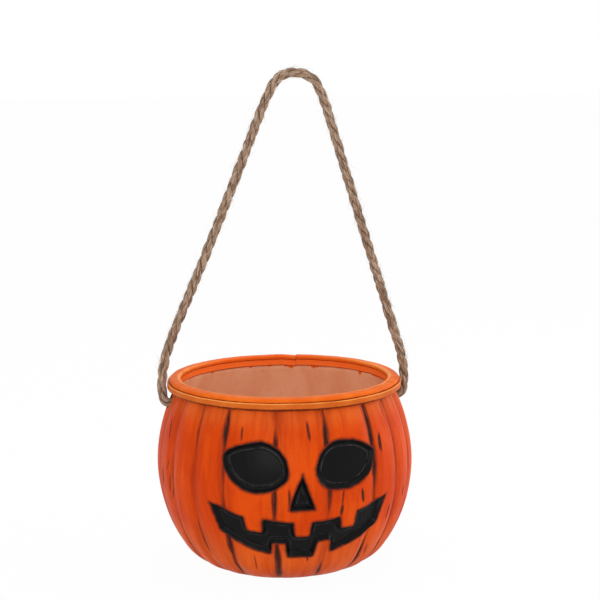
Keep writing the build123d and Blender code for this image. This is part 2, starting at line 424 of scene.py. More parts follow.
def shell_paint():
    """Brushed orange paint, brown in the grooves and gloss black in the face, with painted shade in
    the groove valleys and under the strip, and a painted highlight along the face's ridges.
    """
    paint = Paint(bpy.data.materials.new("shell_paint"))
    skin = paint.vector("skin")
    place = paint.place()
    face = paint.value("face")
    level = paint.height()
    strokes = paint.noise(skin, 170.0, 4.0, 0.6)
    bristles = paint.noise(skin, 800.0, 3.0)
    blotches = paint.noise(place, 22.0, 3.0)
    mottle = paint.noise(place, 150.0, 5.0, 0.65)

    colour = paint.mix(paint.ramp(blotches, 0.35, 0.68), tint(218, 76, 2), tint(204, 62, 0))
    colour = paint.mix(paint.ramp(strokes, 0.42, 0.72, 0.0, 0.5), colour, tint(186, 50, 0))
    colour = paint.mix(paint.ramp(bristles, 0.52, 0.8, 0.0, 0.3), colour, tint(228, 98, 14))
    colour = paint.mix(paint.ramp(mottle, 0.58, 0.8, 0.0, 0.45), colour, tint(154, 44, 8))
    # Lighter and yellower towards the foot and the top edge.
    ends = paint.math("MAXIMUM", paint.ramp(level, 0.06, 0.02), paint.ramp(level, 0.13, 0.146))
    dry = paint.math("MULTIPLY", ends, paint.ramp(strokes, 0.3, 0.7, 0.34, 0.16))
    colour = paint.mix(dry, colour, tint(236, 130, 56))

    # Painted shade: a darker red-brown along the soft valleys of the grooves.
    valley = paint.math("MULTIPLY", paint.value("valley"), paint.ramp(strokes, 0.3, 0.7, 0.1, 0.5))
    colour = paint.mix(valley, colour, tint(146, 40, 8))
    # Brown wash in the grooves and nicks, and a painted shadow line under the strip, both carried
    # in one attribute.
    wash = paint.math("MULTIPLY", paint.value("ink"), paint.ramp(bristles, 0.25, 0.6, 0.55, 1.15))
    colour = paint.mix(paint.ramp(wash, 0.06, 0.5, 0.0, 0.85), colour, tint(116, 40, 18))
    colour = paint.mix(paint.ramp(wash, 0.4, 0.9, 0.0, 0.92), colour, tint(48, 26, 20))

    edge = paint.math("ADD", face, paint.ramp(mottle, 0.3, 0.7, -0.0004, 0.0004))
    colour = paint.mix(paint.ramp(edge, -0.0024, 0.0006, 0.0, 0.9), colour, tint(84, 28, 14))
    black = paint.ramp(edge, -0.0002, 0.0010)
    colour = paint.mix(black, colour, tint(15, 14, 15))
    # Painted highlight: a pale grey line along the ridge inside the eyes, nose and mouth, fainter
    # in the mouth.
    near = paint.ramp(face, RIDGE_INSET - RIDGE_WIDTH, RIDGE_INSET)
    far = paint.ramp(face, RIDGE_INSET + RIDGE_WIDTH, RIDGE_INSET)
    worn = paint.math("MULTIPLY", near, far)
    worn = paint.math("MULTIPLY", worn, paint.ramp(mottle, 0.38, 0.62, 0.0, 0.45))
    worn = paint.math("MULTIPLY", worn, paint.ramp(level, 0.07, 0.09, 0.5, 1.0))
    colour = paint.mix(worn, colour, tint(84, 80, 82))

    rough = paint.ramp(strokes, 0.3, 0.7, 0.42, 0.58)
    rough = paint.add("MapRange", {"Value": black, "To Min": rough, "To Max": 0.27})
    normal = paint.bump(mottle, 0.16, 0.0012)
    normal = paint.bump(strokes, 0.2, 0.0015, normal)
    normal = paint.bump(bristles, 0.1, 0.0006, normal)
    paint.set(Base_Color=colour, Roughness=rough, Normal=normal, Specular_IOR_Level=0.08)
    return paint.owner


def latex():
    """The bare tan inside, stained by the paint, which runs a little below the edging."""
    paint = Paint(bpy.data.materials.new("bare_latex"))
    place = paint.place()
    upright = paint.add("Mapping", {"Vector": place, "Scale": (1, 1, 0.15)})
    cloud = paint.noise(upright, 38.0, 4.0)
    grain = paint.noise(place, 260.0, 4.0, 0.6)
    colour = paint.mix(paint.ramp(cloud, 0.35, 0.68), tint(248, 198, 160), tint(240, 178, 138))
    colour = paint.mix(paint.ramp(grain, 0.5, 0.8, 0.0, 0.25), colour, tint(214, 138, 98))
    drip = paint.ramp(paint.noise(upright, 120.0, 2.0), 0.5, 0.8, 0.0, DRIP_DROP)
    level = paint.math("ADD", paint.height(), drip)
    low = SHELL_TOP - LEG_DROP
    run = paint.ramp(level, low - DRIP_EDGE, low + DRIP_EDGE)
    colour = paint.mix(run, colour, tint(238, 104, 28))
    normal = paint.bump(grain, 0.25, 0.001)
    paint.set(Base_Color=colour, Roughness=paint.ramp(cloud, 0.3, 0.7, 0.5, 0.66), Normal=normal)
    paint.set(Specular_IOR_Level=0.15)
    return paint.owner


def rim_paint(name, main, light, dark, back):
    """Satin paint on the trims, with brown left in the joints plus painted shade there, and a
    painted highlight along the crest and the strip's shoulder.
    """
    paint = Paint(bpy.data.materials.new(name))
    place = paint.place()
    cloud = paint.noise(place, 45.0, 4.0)
    grain = paint.noise(place, 420.0, 5.0, 0.65)
    # Brown paint left in the joints, with painted shade in the same crevices.
    joint = paint.math("MULTIPLY", paint.value("joint"), paint.ramp(grain, 0.25, 0.6, 0.6, 1.2))
    colour = paint.mix(paint.ramp(cloud, 0.38, 0.66), main, light)
    colour = paint.mix(paint.ramp(grain, 0.54, 0.78, 0.0, 0.6), colour, dark)
    # Painted highlight: a paler orange along the bead's inner crest and the strip's top outer edge.
    worn = paint.math("MULTIPLY", paint.value("worn"), paint.ramp(cloud, 0.3, 0.6, 0.6, 1.6))
    colour = paint.mix(paint.ramp(worn, 0.1, 0.9, 0.0, 0.8), colour, tint(248, 158, 78))
    behind = paint.add("SeparateXYZ", {0: place}, 1)
    colour = paint.mix(paint.ramp(behind, 0.02, 0.09, 0.0, 0.75), colour, back)
    colour = paint.mix(paint.ramp(joint, 0.1, 0.9, 0.0, 0.9), colour, tint(112, 40, 14))
    normal = paint.bump(cloud, 0.2, 0.002)
    normal = paint.bump(grain, 0.25, 0.0008, normal)
    paint.set(Base_Color=colour, Roughness=paint.ramp(grain, 0.3, 0.7, 0.4, 0.56), Normal=normal)
    paint.set(Specular_IOR_Level=0.06)
    return paint.owner


def jute():
    """Dry plant fibre: streaks along the yarns, and dark between the strands, where the darkening
    in the yarns' furrows and on the strands' inner sides is painted shade.
    """
    paint = Paint(bpy.data.materials.new("jute"))
    lie = paint.vector("lie")
    hairs = paint.noise(lie, 5.0, 6.0, 0.7)
    tufts = paint.noise(lie, 1.5, 3.0, 0.6)
    bands = paint.noise(lie, 0.6, 3.0)
    out = paint.value("out")
    colour = paint.mix(paint.ramp(bands, 0.35, 0.68), tint(168, 138, 116), tint(138, 108, 86))
    colour = paint.mix(paint.ramp(tufts, 0.52, 0.64, 0.0, 0.85), colour, tint(198, 174, 150))
    colour = paint.mix(paint.ramp(tufts, 0.48, 0.36, 0.0, 0.9), colour, tint(88, 64, 48))
    colour = paint.mix(paint.ramp(hairs, 0.5, 0.72, 0.0, 0.55), colour, tint(196, 170, 142))
    colour = paint.mix(paint.ramp(hairs, 0.46, 0.25, 0.0, 0.6), colour, tint(92, 66, 50))
    # Painted shade in the furrows between the yarns and on the inner sides of the strands.
    colour = paint.mix(paint.ramp(paint.value("gap"), 0.5, 1.0, 0.0, 0.6), colour, tint(88, 62, 46))
    colour = paint.mix(paint.ramp(out, 0.35, -0.25, 0.0, 0.8), colour, tint(80, 56, 42))
    paint.set(Base_Color=colour, Roughness=0.9, Normal=paint.bump(hairs, 0.5, 0.0006))
    paint.set(Specular_IOR_Level=0.1, Sheen_Weight=0.25, Sheen_Roughness=0.5)
    return paint.owner


# Rope


def spline_points(route):
    """Points along the smooth spline that has the route's points as its control points."""
    curve = bpy.data.curves.new("route", "CURVE")
    curve.dimensions = "3D"
    curve.resolution_u = CURVE_STEPS
    spline = curve.splines.new("NURBS")
    spline.points.add(len(route) - 1)
    for point, place in zip(spline.points, route):
        point.co = (*place, 1)
    spline.order_u = 3
    spline.use_endpoint_u = True
    guide = bpy.data.objects.new("route", curve)
    mesh = bpy.data.meshes.new_from_object(guide)
    points = np.array([vertex.co for vertex in mesh.vertices])
    bpy.data.objects.remove(guide)
    bpy.data.curves.remove(curve)
    bpy.data.meshes.remove(mesh)
    return points


def even_points(points, step):
    """The same line with its points a step apart, and how far along it each lies."""
    runs = np.linalg.norm(np.diff(points, axis=0), axis=1)
    lengths = np.concatenate([[0], np.cumsum(runs)])
    places = np.linspace(0, lengths[-1], ceil(lengths[-1] / step) + 1)
    evened = [np.interp(places, lengths, points[:, axis]) for axis in range(3)]
    return np.column_stack(evened), places


def line_frames(points):
    """The direction of a line at its points, and two directions square to it that don't twist."""
    ahead = unit(np.gradient(points, axis=0))
    side = np.zeros_like(ahead)
    guess = np.array([0.0, 1.0, 0.0])
    for index, direction in enumerate(ahead):
        guess = unit(guess - direction * (guess @ direction))
        side[index] = guess
    return ahead, side, np.cross(ahead, side)


def wander(places, pace, row):
    """Smooth uneven values along a line, between about -1 and 1."""
    level = row * NOISE_ROW_GAP
    return np.array([noise.noise((place * pace, level, NOISE_LAYER)) for place in places])


def lay_rope(name, line, diameter, material):
    """Three strands twisted about a line, each with the ridges of its yarns."""
    points, places = even_points(line, STRAND_STEP)
    ahead, side, up = line_frames(points)
    strand = STRAND_SHARE * diameter / 2
    around = np.linspace(0, 2 * pi, STRAND_SIDES, endpoint=False)
    rows = len(points)
    slack = LAY_SLACK * wander(places, LAY_SLACK_PACE, LAY_SLACK_ROW)
    rope_points, faces, lie, out, gap = [], [], [], [], []
    for index in range(STRANDS):
        turn = 2 * pi * (index / STRANDS + places / LAY_LENGTH) + slack
        turn = turn + STRAND_SLACK * wander(places, STRAND_SLACK_PACE, index)
        outward = np.cos(turn)[:, None] * side + np.sin(turn)[:, None] * up
        middle = points + (diameter / 2 - strand) * outward
        across = np.cross(unit(np.gradient(middle, axis=0)), outward)
        yarn = around[None] - 2 * pi * places[:, None] / YARN_LAY
        swell = wander(places, STRAND_SWELL_PACE, STRAND_SWELL_ROW + index)
        furrow = 1 - np.abs(np.cos(YARNS / 2 * yarn))
        radius = strand * (1 - YARN_RIDGE_SHARE * furrow) * (1 + STRAND_SWELL * swell[:, None])
        spokes = np.cos(around)[:, None] * outward[:, None]
        spokes = spokes + np.sin(around)[:, None] * across[:, None]
        first = len(rope_points) * rows * STRAND_SIDES
        rope_points.append(middle[:, None] + radius[..., None] * spokes)
        faces += strip_faces(rows, STRAND_SIDES, first)
        last = first + (rows - 1) * STRAND_SIDES
        faces.append([first + corner for corner in reversed(range(STRAND_SIDES))])
        faces.append([last + corner for corner in range(STRAND_SIDES)])
        run = places * GRAIN_PACE + GRAIN_SHIFT * index
        run = np.repeat(run[:, None], STRAND_SIDES, axis=1)
        lie.append(np.stack([np.cos(yarn), np.sin(yarn), run], axis=-1))
        # How far each point faces out of its strand, and how deep it lies in a yarn's furrow: both
        # drive painted shade in the jute.
        out.append(np.repeat(np.cos(around)[None], rows, axis=0))
        gap.append(furrow)
    lie = np.concatenate(lie).reshape(-1, 3)
    out, gap = (np.concatenate(values).ravel() for values in (out, gap))
    rope_points = np.concatenate(rope_points).reshape(-1, 3)
    return make_piece(name, rope_points, faces, [material], lie=lie, out=out, gap=gap)


def fray(name, line, count, bare, material):
    """Stray fibres that stand off a rope, away from its ends and from the pail beside it."""
    points, _ = even_points(line, STRAND_STEP)
    first = round(bare / STRAND_STEP)
    ahead, side, up = line_frames(points)
    fibre_points, faces = [], []
    for index in range(count):
        spot = first + chance.integers(len(points) - 2 * first)
        turn = chance.uniform(0, 2 * pi)
        outward = cos(turn) * side[spot] + sin(turn) * up[spot]
        if points[spot][2] < FRAY_FREE and outward[0] * points[spot][0] < 0:
            outward = -outward
        sideways = np.cross(ahead[spot], outward)
        start = points[spot] + outward * ROPE_DIAMETER * chance.uniform(*FIBRE_ROOT_SHARES)
        length = FIBRE_LENGTH * chance.uniform(*FIBRE_LENGTH_SHARES) ** FIBRE_SHORTNESS
        lift = chance.uniform(*FIBRE_LIFTS)
        way = chance.choice((-1, 1))
        spread = chance.normal(0, FIBRE_SPREAD)
        heading = unit(way * ahead[spot] + lift * outward + spread * sideways)
        curl = chance.normal(0, FIBRE_CURL, 3) - FIBRE_DROOP * outward
        for ring in range(FIBRE_RINGS):
            share = ring / (FIBRE_RINGS - 1)
            middle = start + length * (share * heading + share * share * FIBRE_BEND * curl)
            radius = FIBRE_RADIUS * (FIBRE_TAPER - share)
            for corner in range(FIBRE_SIDES):
                angle = way * 2 * pi * corner / FIBRE_SIDES
                spoke = cos(angle) * outward + sin(angle) * sideways
                fibre_points.append(middle + radius * spoke)
        root = index * FIBRE_RINGS * FIBRE_SIDES
        tip = root + (FIBRE_RINGS - 1) * FIBRE_SIDES
        faces += strip_faces(FIBRE_RINGS, FIBRE_SIDES, root)
        faces.append([root + corner for corner in reversed(range(FIBRE_SIDES))])
        faces.append([tip + corner for corner in range(FIBRE_SIDES)])
    fibre_points = np.array(fibre_points)
    flat = np.ones(len(fibre_points))
    grain = fibre_points * FIBRE_GRAIN
    return make_piece(name, fibre_points, faces, [material], lie=grain, out=flat)


def knot_place(side, along):
    """A place on the slanting middle line of a knot, so far in from its outer end."""
    across = KNOT_FACE - along * cos(KNOT_SLANT)
    return np.array((side * across, 0, KNOT_HEIGHT - along * sin(KNOT_SLANT)))


def knot_line(side):
    """The rope's turns round itself, between the knot's two ends."""
    turns = []
    rope = KNOT_ROPE_DIAMETER
    upward = np.array((-side * sin(KNOT_SLANT), 0, cos(KNOT_SLANT)))
    backward = np.array((0, 1, 0))
    for share in np.linspace(0, 1, KNOT_STEPS):
        angle = 2 * pi * KNOT_TURNS * share
        full = smooth(min(share, 1 - share) / KNOT_EASE)
        radius = (KNOT_WIDTH - rope) / 2 * (KNOT_END_SHARE + (1 - KNOT_END_SHARE) * full)
        middle = knot_place(side, rope / 2 + (KNOT_LENGTH - rope) * share)
        turns.append(middle + radius * (cos(angle) * backward + sin(angle) * upward))
    return np.array(turns)


def add_handle():
    """The rope from knot to knot, its knots, cut ends and stray fibres."""
    material = jute()
    line = spline_points([(across, 0, height) for across, height in ROPE_ROUTE])
    rope = lay_rope("rope", line, ROPE_DIAMETER, material)
    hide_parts("rope_handle")
    others = [fray("rope_fibres", line, ROPE_FIBRES, ROPE_BARE, material)]
    for name, side in (("left", -1), ("right", 1)):
        knot = lay_rope(f"knot_{name}", knot_line(side), KNOT_ROPE_DIAMETER, material)
        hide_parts(f"rope_knot_{name}")
        start = knot_place(side, KNOT_LENGTH)
        bend = knot_place(side, KNOT_LENGTH + TAIL_REACH)
        tail_line = spline_points([start, bend, bend - (0, 0, TAIL_DROP)])
        tail = lay_rope(f"tail_{name}", tail_line, ROPE_DIAMETER, material)
        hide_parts(f"rope_tail_{name}")
        fibres = fray(f"tail_fibres_{name}", tail_line, TAIL_FIBRES, TAIL_BARE, material)
        others += [knot, tail, fibres]
    for piece in (rope, *others):
        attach(piece, "handle")


# Shell


def side_profile(inset, step):
    """Radius, height and slope up the shell's side, from near the foot's middle to the top."""
    foot_run = BELLY_RADIUS - FOOT_RADIUS
    lower_reach = foot_run**2 + BELLY_HEIGHT**2 - 2 * BELLY_HEIGHT * FOOT_ARC
    lower_arc = lower_reach / (foot_run - FOOT_ARC) / 2
    lower_centre = BELLY_RADIUS - lower_arc
    foot_turn = atan2(BELLY_HEIGHT - FOOT_ARC, FOOT_RADIUS - lower_centre)
    neck_step = BELLY_RADIUS - NECK_RADIUS
    neck_rise = NECK_HEIGHT - BELLY_HEIGHT
    upper_arc = (neck_step**2 + neck_rise**2) / (2 * neck_step)
    upper_centre = BELLY_RADIUS - upper_arc
    neck_turn = atan2(neck_rise, NECK_RADIUS - upper_centre)
    arcs = [
        (FOOT_RADIUS, FOOT_ARC, FOOT_ARC, -pi / 2, -foot_turn),
        (lower_centre, BELLY_HEIGHT, lower_arc, -foot_turn, 0),
        (upper_centre, BELLY_HEIGHT, upper_arc, 0, neck_turn),
    ]
    shares = np.linspace(1 / FOOT_ROWS, 1, FOOT_ROWS, endpoint=False)
    rows = [(share * FOOT_RADIUS, inset, -pi / 2) for share in shares]
    for centre, middle, arc, start, end in arcs:
        arc -= inset
        steps = ceil(arc * (end - start) / step)
        for angle in np.linspace(start, end, steps, endpoint=False):
            rows.append((centre + arc * cos(angle), middle + arc * sin(angle), angle))
    neck = (centre + arc * cos(end), middle + arc * sin(end))
    rows += [(neck[0], height, 0) for height in np.linspace(neck[1], SHELL_TOP, NECK_ROWS)]
    return np.array(rows)


def bow(start, bulge, end):
    """Points along an even curve from start through bulge, short of end."""
    shares = np.linspace(0, 1, BOW_STEPS, endpoint=False)[:, None]
    before, through, after = (np.array(point) for point in (start, bulge, end))
    near_start = (1 - shares) * (1 - 2 * shares) * before
    near_bulge = 4 * shares * (1 - shares) * through
    return near_start + near_bulge + shares * (2 * shares - 1) * after


def eye_outline(side):
    def point(shares):
        across = side * (EYE_OFFSET + shares[0] * EYE_WIDTH / 2)
        return (across, EYE_HEIGHT + shares[1] * EYE_TALL / 2)

    corners = [point(shares) for shares in EYE_CORNER_SHARES]
    bulges = [point(shares) for shares in EYE_BULGE_SHARES]
    ends = corners[1:] + corners[:1]
    return np.concatenate([bow(*points) for points in zip(corners, bulges, ends)])


def nose_outline():
    top = NOSE_HEIGHT + NOSE_TALL / 2
    bottom = NOSE_HEIGHT - NOSE_TALL / 2
    return np.array([(0, top), (NOSE_WIDTH / 2, bottom), (-NOSE_WIDTH / 2, bottom)])


def upper_lip(across):
    rise = MOUTH_CORNER_HEIGHT - UPPER_LIP_HEIGHT
    return UPPER_LIP_HEIGHT + rise * (across / MOUTH_HALF_WIDTH) ** 2


def lower_lip(across):
    rise = JOWL_HEIGHT - LOWER_LIP_HEIGHT
    return LOWER_LIP_HEIGHT + rise * (across / JOWL_HALF_WIDTH) ** 2


def lip_line(lip, half_width, rise, teeth):
    """A lip from corner to corner, with a tooth at each of the given steps."""
    root = TOOTH_WIDTH / 2
    tip = TOOTH_TIP_SHARE * root
    middles = [step * TOOTH_PITCH for step in teeth]
    points = []
    for middle in middles:
        height = lip(middle) + rise
        points += [(middle - root, lip(middle - root)), (middle - tip, height)]
        points += [(middle + tip, height), (middle + root, lip(middle + root))]
    for across in np.linspace(-half_width, half_width, LIP_STEPS):
        if all(abs(across - middle) > root for middle in middles):
            points.append((across, lip(across)))
    return sorted(points)


def mouth_outline():
    upper = lip_line(upper_lip, MOUTH_HALF_WIDTH, -TOOTH_TALL, UPPER_TEETH)
    lower = lip_line(lower_lip, JOWL_HALF_WIDTH, TOOTH_TALL, LOWER_TEETH)
    return np.array(upper + lower[::-1])


def soften(outline):
    """The same outline with its corners worn round."""
    points = []
    behind, beyond = np.roll(outline, 1, axis=0), np.roll(outline, -1, axis=0)
    for back, corner, ahead in zip(behind, outline, beyond):
        if unit(corner - back) @ unit(ahead - corner) > cos(CORNER_TURN):
            points.append(corner)
            continue
        sides = [np.linalg.norm(end - corner) for end in (back, ahead)]
        cuts = [min(CORNER_CUT, CORNER_CUT_SHARE * side) for side in sides]
        start = corner + cuts[0] * unit(back - corner)
        end = corner + cuts[1] * unit(ahead - corner)
        for share in np.linspace(0, 1, CORNER_POINTS):
            bend = 2 * share * (1 - share) * corner
            points.append((1 - share) ** 2 * start + bend + share**2 * end)
    return np.array(points)


def depth_inside(across, height, outline):
    """How far each point lies inside an outline, or below zero how far outside."""
    nearest = np.full(across.shape, np.inf)
    inside = np.zeros(across.shape, dtype=bool)
    for (start_x, start_y), (end_x, end_y) in zip(outline, np.roll(outline, -1, axis=0)):
        run_x, run_y = end_x - start_x, end_y - start_y
        share = ((across - start_x) * run_x + (height - start_y) * run_y) / (run_x**2 + run_y**2)
        share = np.clip(share, 0, 1)
        gap = np.hypot(across - start_x - share * run_x, height - start_y - share * run_y)
        nearest = np.minimum(nearest, gap)
        if run_y != 0:
            crossing = start_x + (height - start_y) / run_y * run_x
            inside ^= ((start_y > height) != (end_y > height)) & (across < crossing)
    return np.where(inside, nearest, -nearest)


def face_depth(azimuth, height):
    """How far each point of the skin lies inside the eyes, nose or mouth."""
    front = np.abs(azimuth[0]) < FRONT_REACH
    depth = -np.ones(azimuth.shape)
    across = azimuth[:, front] * BELLY_RADIUS
    height = height[:, front]
    places = HAND_WARP_PACE * np.stack([across.ravel(), height.ravel()], axis=-1)
    warp = [noise.noise_vector((*place, HAND_WARP_LAYER)) for place in places]
    warp = HAND_WARP * np.array(warp).reshape(*across.shape, 3)
    across = across + warp[..., 0]
    height = height + warp[..., 1]
    outlines = (eye_outline(-1), eye_outline(1), nose_outline(), mouth_outline())
    depths = [depth_inside(across, height, soften(outline)) for outline in outlines]
    depth[:, front] = np.max(depths, axis=0)
    return depth


def groove_azimuths():
    """Where the grooves run: beside the front ribs, then spread evenly over the rest."""
    span = FRONT_LOBES * FRONT_LOBE_ANGLE
    front = [FRONT_LOBE_ANGLE * step - span / 2 for step in range(FRONT_LOBES + 1)]
    other = (2 * pi - span) / OTHER_LOBES
    return front + [span / 2 + other * step for step in range(1, OTHER_LOBES)]


def groove_noise(rows, index, spacing, pace, layer):
    """Smooth uneven values up a groove, between about -1 and 1."""
    return np.array([noise.noise((index * spacing, row * pace, layer)) for row in rows])


def carve_grooves(azimuth, radius, height):
    """Shares of the soft valleys, of the cracks in them and of the brown paint that lies there."""
    valley = np.zeros(azimuth.shape)
    crack = np.zeros(azimuth.shape)
    ink = np.zeros(azimuth.shape)
    rows = height[:, 0]
    for index, groove in enumerate(groove_azimuths()):
        course = groove_noise(rows, index, *GROOVE_WANDER_NOISE)
        weight = groove_noise(rows, index, *INK_NOISE)
        full, swing = FRONT_INK_SHARES if index <= FRONT_LOBES else OTHER_INK_SHARES
        weight = np.clip(full + swing * weight, LEAST_INK, 1)[:, None]
        off = azimuth - groove - GROOVE_WANDER * course[:, None]
        off = np.abs((off + pi) % (2 * pi) - pi) * radius
        depth = CRACK_SHARES[0] + CRACK_SHARES[1] * weight
        width = CRACK_WIDTH * (INK_WIDTH_SHARES[0] + INK_WIDTH_SHARES[1] * weight)
        valley = np.maximum(valley, np.exp(-((off / VALLEY_WIDTH) ** 2)))
        crack = np.maximum(crack, depth * np.exp(-((off / CRACK_WIDTH) ** 2)))
        ink = np.maximum(ink, weight * np.exp(-((off / width) ** 2)))
    return valley, crack, ink


def carve_nicks(azimuth, radius, height):
    """Short cuts up and down the skin, with brown paint left in them."""
    depth = np.zeros(azimuth.shape)
    for _ in range(NICKS):
        middle = chance.uniform(-pi, pi)
        level = chance.uniform(*NICK_LEVELS)
        length = chance.uniform(*NICK_LENGTHS)
        width = chance.uniform(*NICK_WIDTHS)
        weight = chance.uniform(*NICK_WEIGHTS)
        lean = chance.normal(0, NICK_LEAN)
        off = (azimuth - middle + pi) % (2 * pi) - pi
        off = off * radius - lean * (height - level)
        shape = np.exp(-((off / width) ** 2) - ((height - level) / length) ** 4)
        depth = np.maximum(depth, weight * shape)
    return depth


def shell_columns():
    """Azimuths of the skin's columns of points, closer together over the face."""
    count = ceil(2 * FRONT_REACH / FRONT_STEP)
    front = np.linspace(-FRONT_REACH, FRONT_REACH, count, endpoint=False)
    rest = 2 * pi - 2 * FRONT_REACH
    count = ceil(rest / OTHER_STEP)
    other = np.linspace(FRONT_REACH, FRONT_REACH + rest, count, endpoint=False)
    return np.concatenate([front, (other + pi) % (2 * pi) - pi])


def skin_points(profile, azimuth, outward):
    """Points of a turned skin, moved outward from its profile."""
    radius, height, slope = (profile[:, index][:, None] for index in range(3))
    reach = radius + outward * np.cos(slope)
    rise = height + outward * np.sin(slope)
    rise = rise + 0 * azimuth
    return np.stack([reach * np.sin(azimuth), -reach * np.cos(azimuth), rise], axis=-1)


def add_shell():
    """The hollow shell, carved, with its two rope holes."""
    columns = shell_columns()[None]
    outer = side_profile(0, ROW_STEP)
    inner = side_profile(WALL, INNER_ROW_STEP)[::-1]
    azimuth = np.repeat(columns, len(outer), axis=0)
    radius = np.repeat(outer[:, :1], columns.shape[1], axis=1)
    height = np.repeat(outer[:, 1:2], columns.shape[1], axis=1)

    face = face_depth(azimuth, height)
    valley, crack, ink = carve_grooves(azimuth, radius, height)
    nicks = carve_nicks(azimuth, radius, height)
    clear = smooth(-face / RECESS_SLOPE + FACE_MARGIN_SHARE)
    plain = skin_points(outer, columns, 0)
    places = [Vector(point) * UNEVENNESS_PACE for point in plain.reshape(-1, 3)]
    lumps = np.array([noise.noise(place) for place in places]).reshape(azimuth.shape)
    ends = smooth(height / FOOT_FADE) * smooth((SHELL_TOP - NECK_BARE - height) / NECK_FADE)
    carved = VALLEY_DEPTH * valley + CRACK_DEPTH * crack + NICK_DEPTH * nicks
    outward = UNEVENNESS * lumps - carved * clear
    ridge = RIDGE_RISE * np.exp(-(((face - RIDGE_INSET) / RIDGE_WIDTH) ** 2))
    outward = outward * ends - RECESS_DEPTH * smooth(face / RECESS_SLOPE) + ridge
    skin = skin_points(outer, columns, outward)

    inner_azimuth = np.repeat(columns, len(inner), axis=0)
    inner_height = np.repeat(inner[:, 1:2], columns.shape[1], axis=1)
    inner_face = face_depth(inner_azimuth, inner_height)
    pads = RECESS_DEPTH * smooth((inner_face + WALL) / RECESS_SLOPE)
    lining = skin_points(inner, columns, -pads)

    rows = len(outer) + len(inner)
    count = columns.shape[1]
    faces = strip_faces(rows, count)
    indices = [0] * ((len(outer) - 1) * count) + [1] * (len(inner) * count)
    under, floor = rows * count, rows * count + 1
    last = (rows - 1) * count
    for column in range(count):
        beside = (column + 1) % count
        faces.append([under, beside, column])
        faces.append([floor, last + column, last + beside])
    indices += [0, 1] * count
    middles = [(0, 0, 0), (0, 0, WALL)]
    points = np.concatenate([skin.reshape(-1, 3), lining.reshape(-1, 3), middles])

    runs = np.hypot(*np.diff(outer[:, :2], axis=0).T)
    climb = BRUSH_CLIMB_SHARE * np.concatenate([[0], np.cumsum(runs)])[:, None] + 0 * azimuth
    ring = (BELLY_RADIUS * np.sin(azimuth), -BELLY_RADIUS * np.cos(azimuth))
    brush = np.stack([*ring, climb], axis=-1)
    spare = len(points) - skin.reshape(-1, 3).shape[0]
    # Painted shadow: a dark line on the shell under the strip, laid in with the grooves' brown
    # wash.
    under_strip = smooth(1 - np.abs(height - strip_low.z) / UNDER_STRIP_REACH)
    ink = np.maximum(np.maximum(ink, nicks) * clear * ends, UNDER_STRIP_INK * under_strip)
    shell = make_piece(
        "shell",
        points,
        faces,
        [shell_paint(), latex()],
        indices,
        face=np.concatenate([face.ravel(), -np.ones(spare)]),
        ink=np.concatenate([ink.ravel(), np.zeros(spare)]),
        valley=np.concatenate([valley.ravel(), np.zeros(spare)]),
        skin=np.concatenate([brush.reshape(-1, 3), np.zeros((spare, 3))]),
    )
    drill_holes(shell)
    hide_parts("pail_shell")
    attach(shell, "pail")


def drill_holes(shell):
    """The rope's two holes, cut straight through both sides."""
    turns = np.linspace(0, 2 * pi, HOLE_SIDES, endpoint=False)
    rise = HOLE_HEIGHT + HOLE_RADIUS * np.sin(turns)
    ring = np.stack([0 * turns, HOLE_RADIUS * np.cos(turns), rise], axis=-1)
    points = np.concatenate([ring - (BELLY_RADIUS, 0, 0), ring + (BELLY_RADIUS, 0, 0)])
    ends = [list(reversed(range(HOLE_SIDES))), list(range(HOLE_SIDES, 2 * HOLE_SIDES))]
    faces = strip_faces(2, HOLE_SIDES) + ends
    drill = make_piece("drill", points, faces, [])
    cut = shell.modifiers.new("holes", "BOOLEAN")
    cut.object = drill
    cut.operation = "DIFFERENCE"
    cut.solver = "MANIFOLD"
    bpy.context.view_layer.update()
    drilled = shell.evaluated_get(bpy.context.evaluated_depsgraph_get())
    carved = bpy.data.meshes.new_from_object(drilled)
    shell.modifiers.clear()
    shell.data = carved
    bpy.data.objects.remove(drill)


# Rim


def rounded_section(corners):
    """A closed section of radii and heights, each corner rounded by its own radius."""
    places = [np.array(corner[:2]) for corner in corners]
    points = []
    for index, (_, _, radius) in enumerate(corners):
        here = places[index]
        before = unit(places[index - 1] - here)
        after = unit(places[(index + 1) % len(places)] - here)
        half = np.arccos(before @ after) / 2
        inward = unit(before + after)
        centre = here + inward * radius / sin(half)
        start = here + before * radius / np.tan(half) - centre
        end = here + after * radius / np.tan(half) - centre
        for share in np.linspace(0, 1, CORNER_STEPS):
            points.append(centre + radius * unit((1 - share) * start + share * end))
    section = []
    for here, ahead in zip(points, points[1:] + points[:1]):
        steps = ceil(np.linalg.norm(ahead - here) / SECTION_STEP)
        section += [here + (ahead - here) * step / steps for step in range(steps)]
    return np.array(section)


def nearness(section, places):
    """How near each point of a section lies to any of some places, given with their reach."""
    shares = np.zeros(len(section))
    for radius, height, reach in places:
        gap = np.hypot(section[:, 0] - radius, section[:, 1] - height)
        shares = np.maximum(shares, smooth(1 - gap / reach))
    return shares


def ring_noise(turn, pace, layer):
    """A smooth uneven value at a place round the rim, between about -1 and 1."""
    return noise.noise((sin(turn) * pace, cos(turn) * pace, layer))


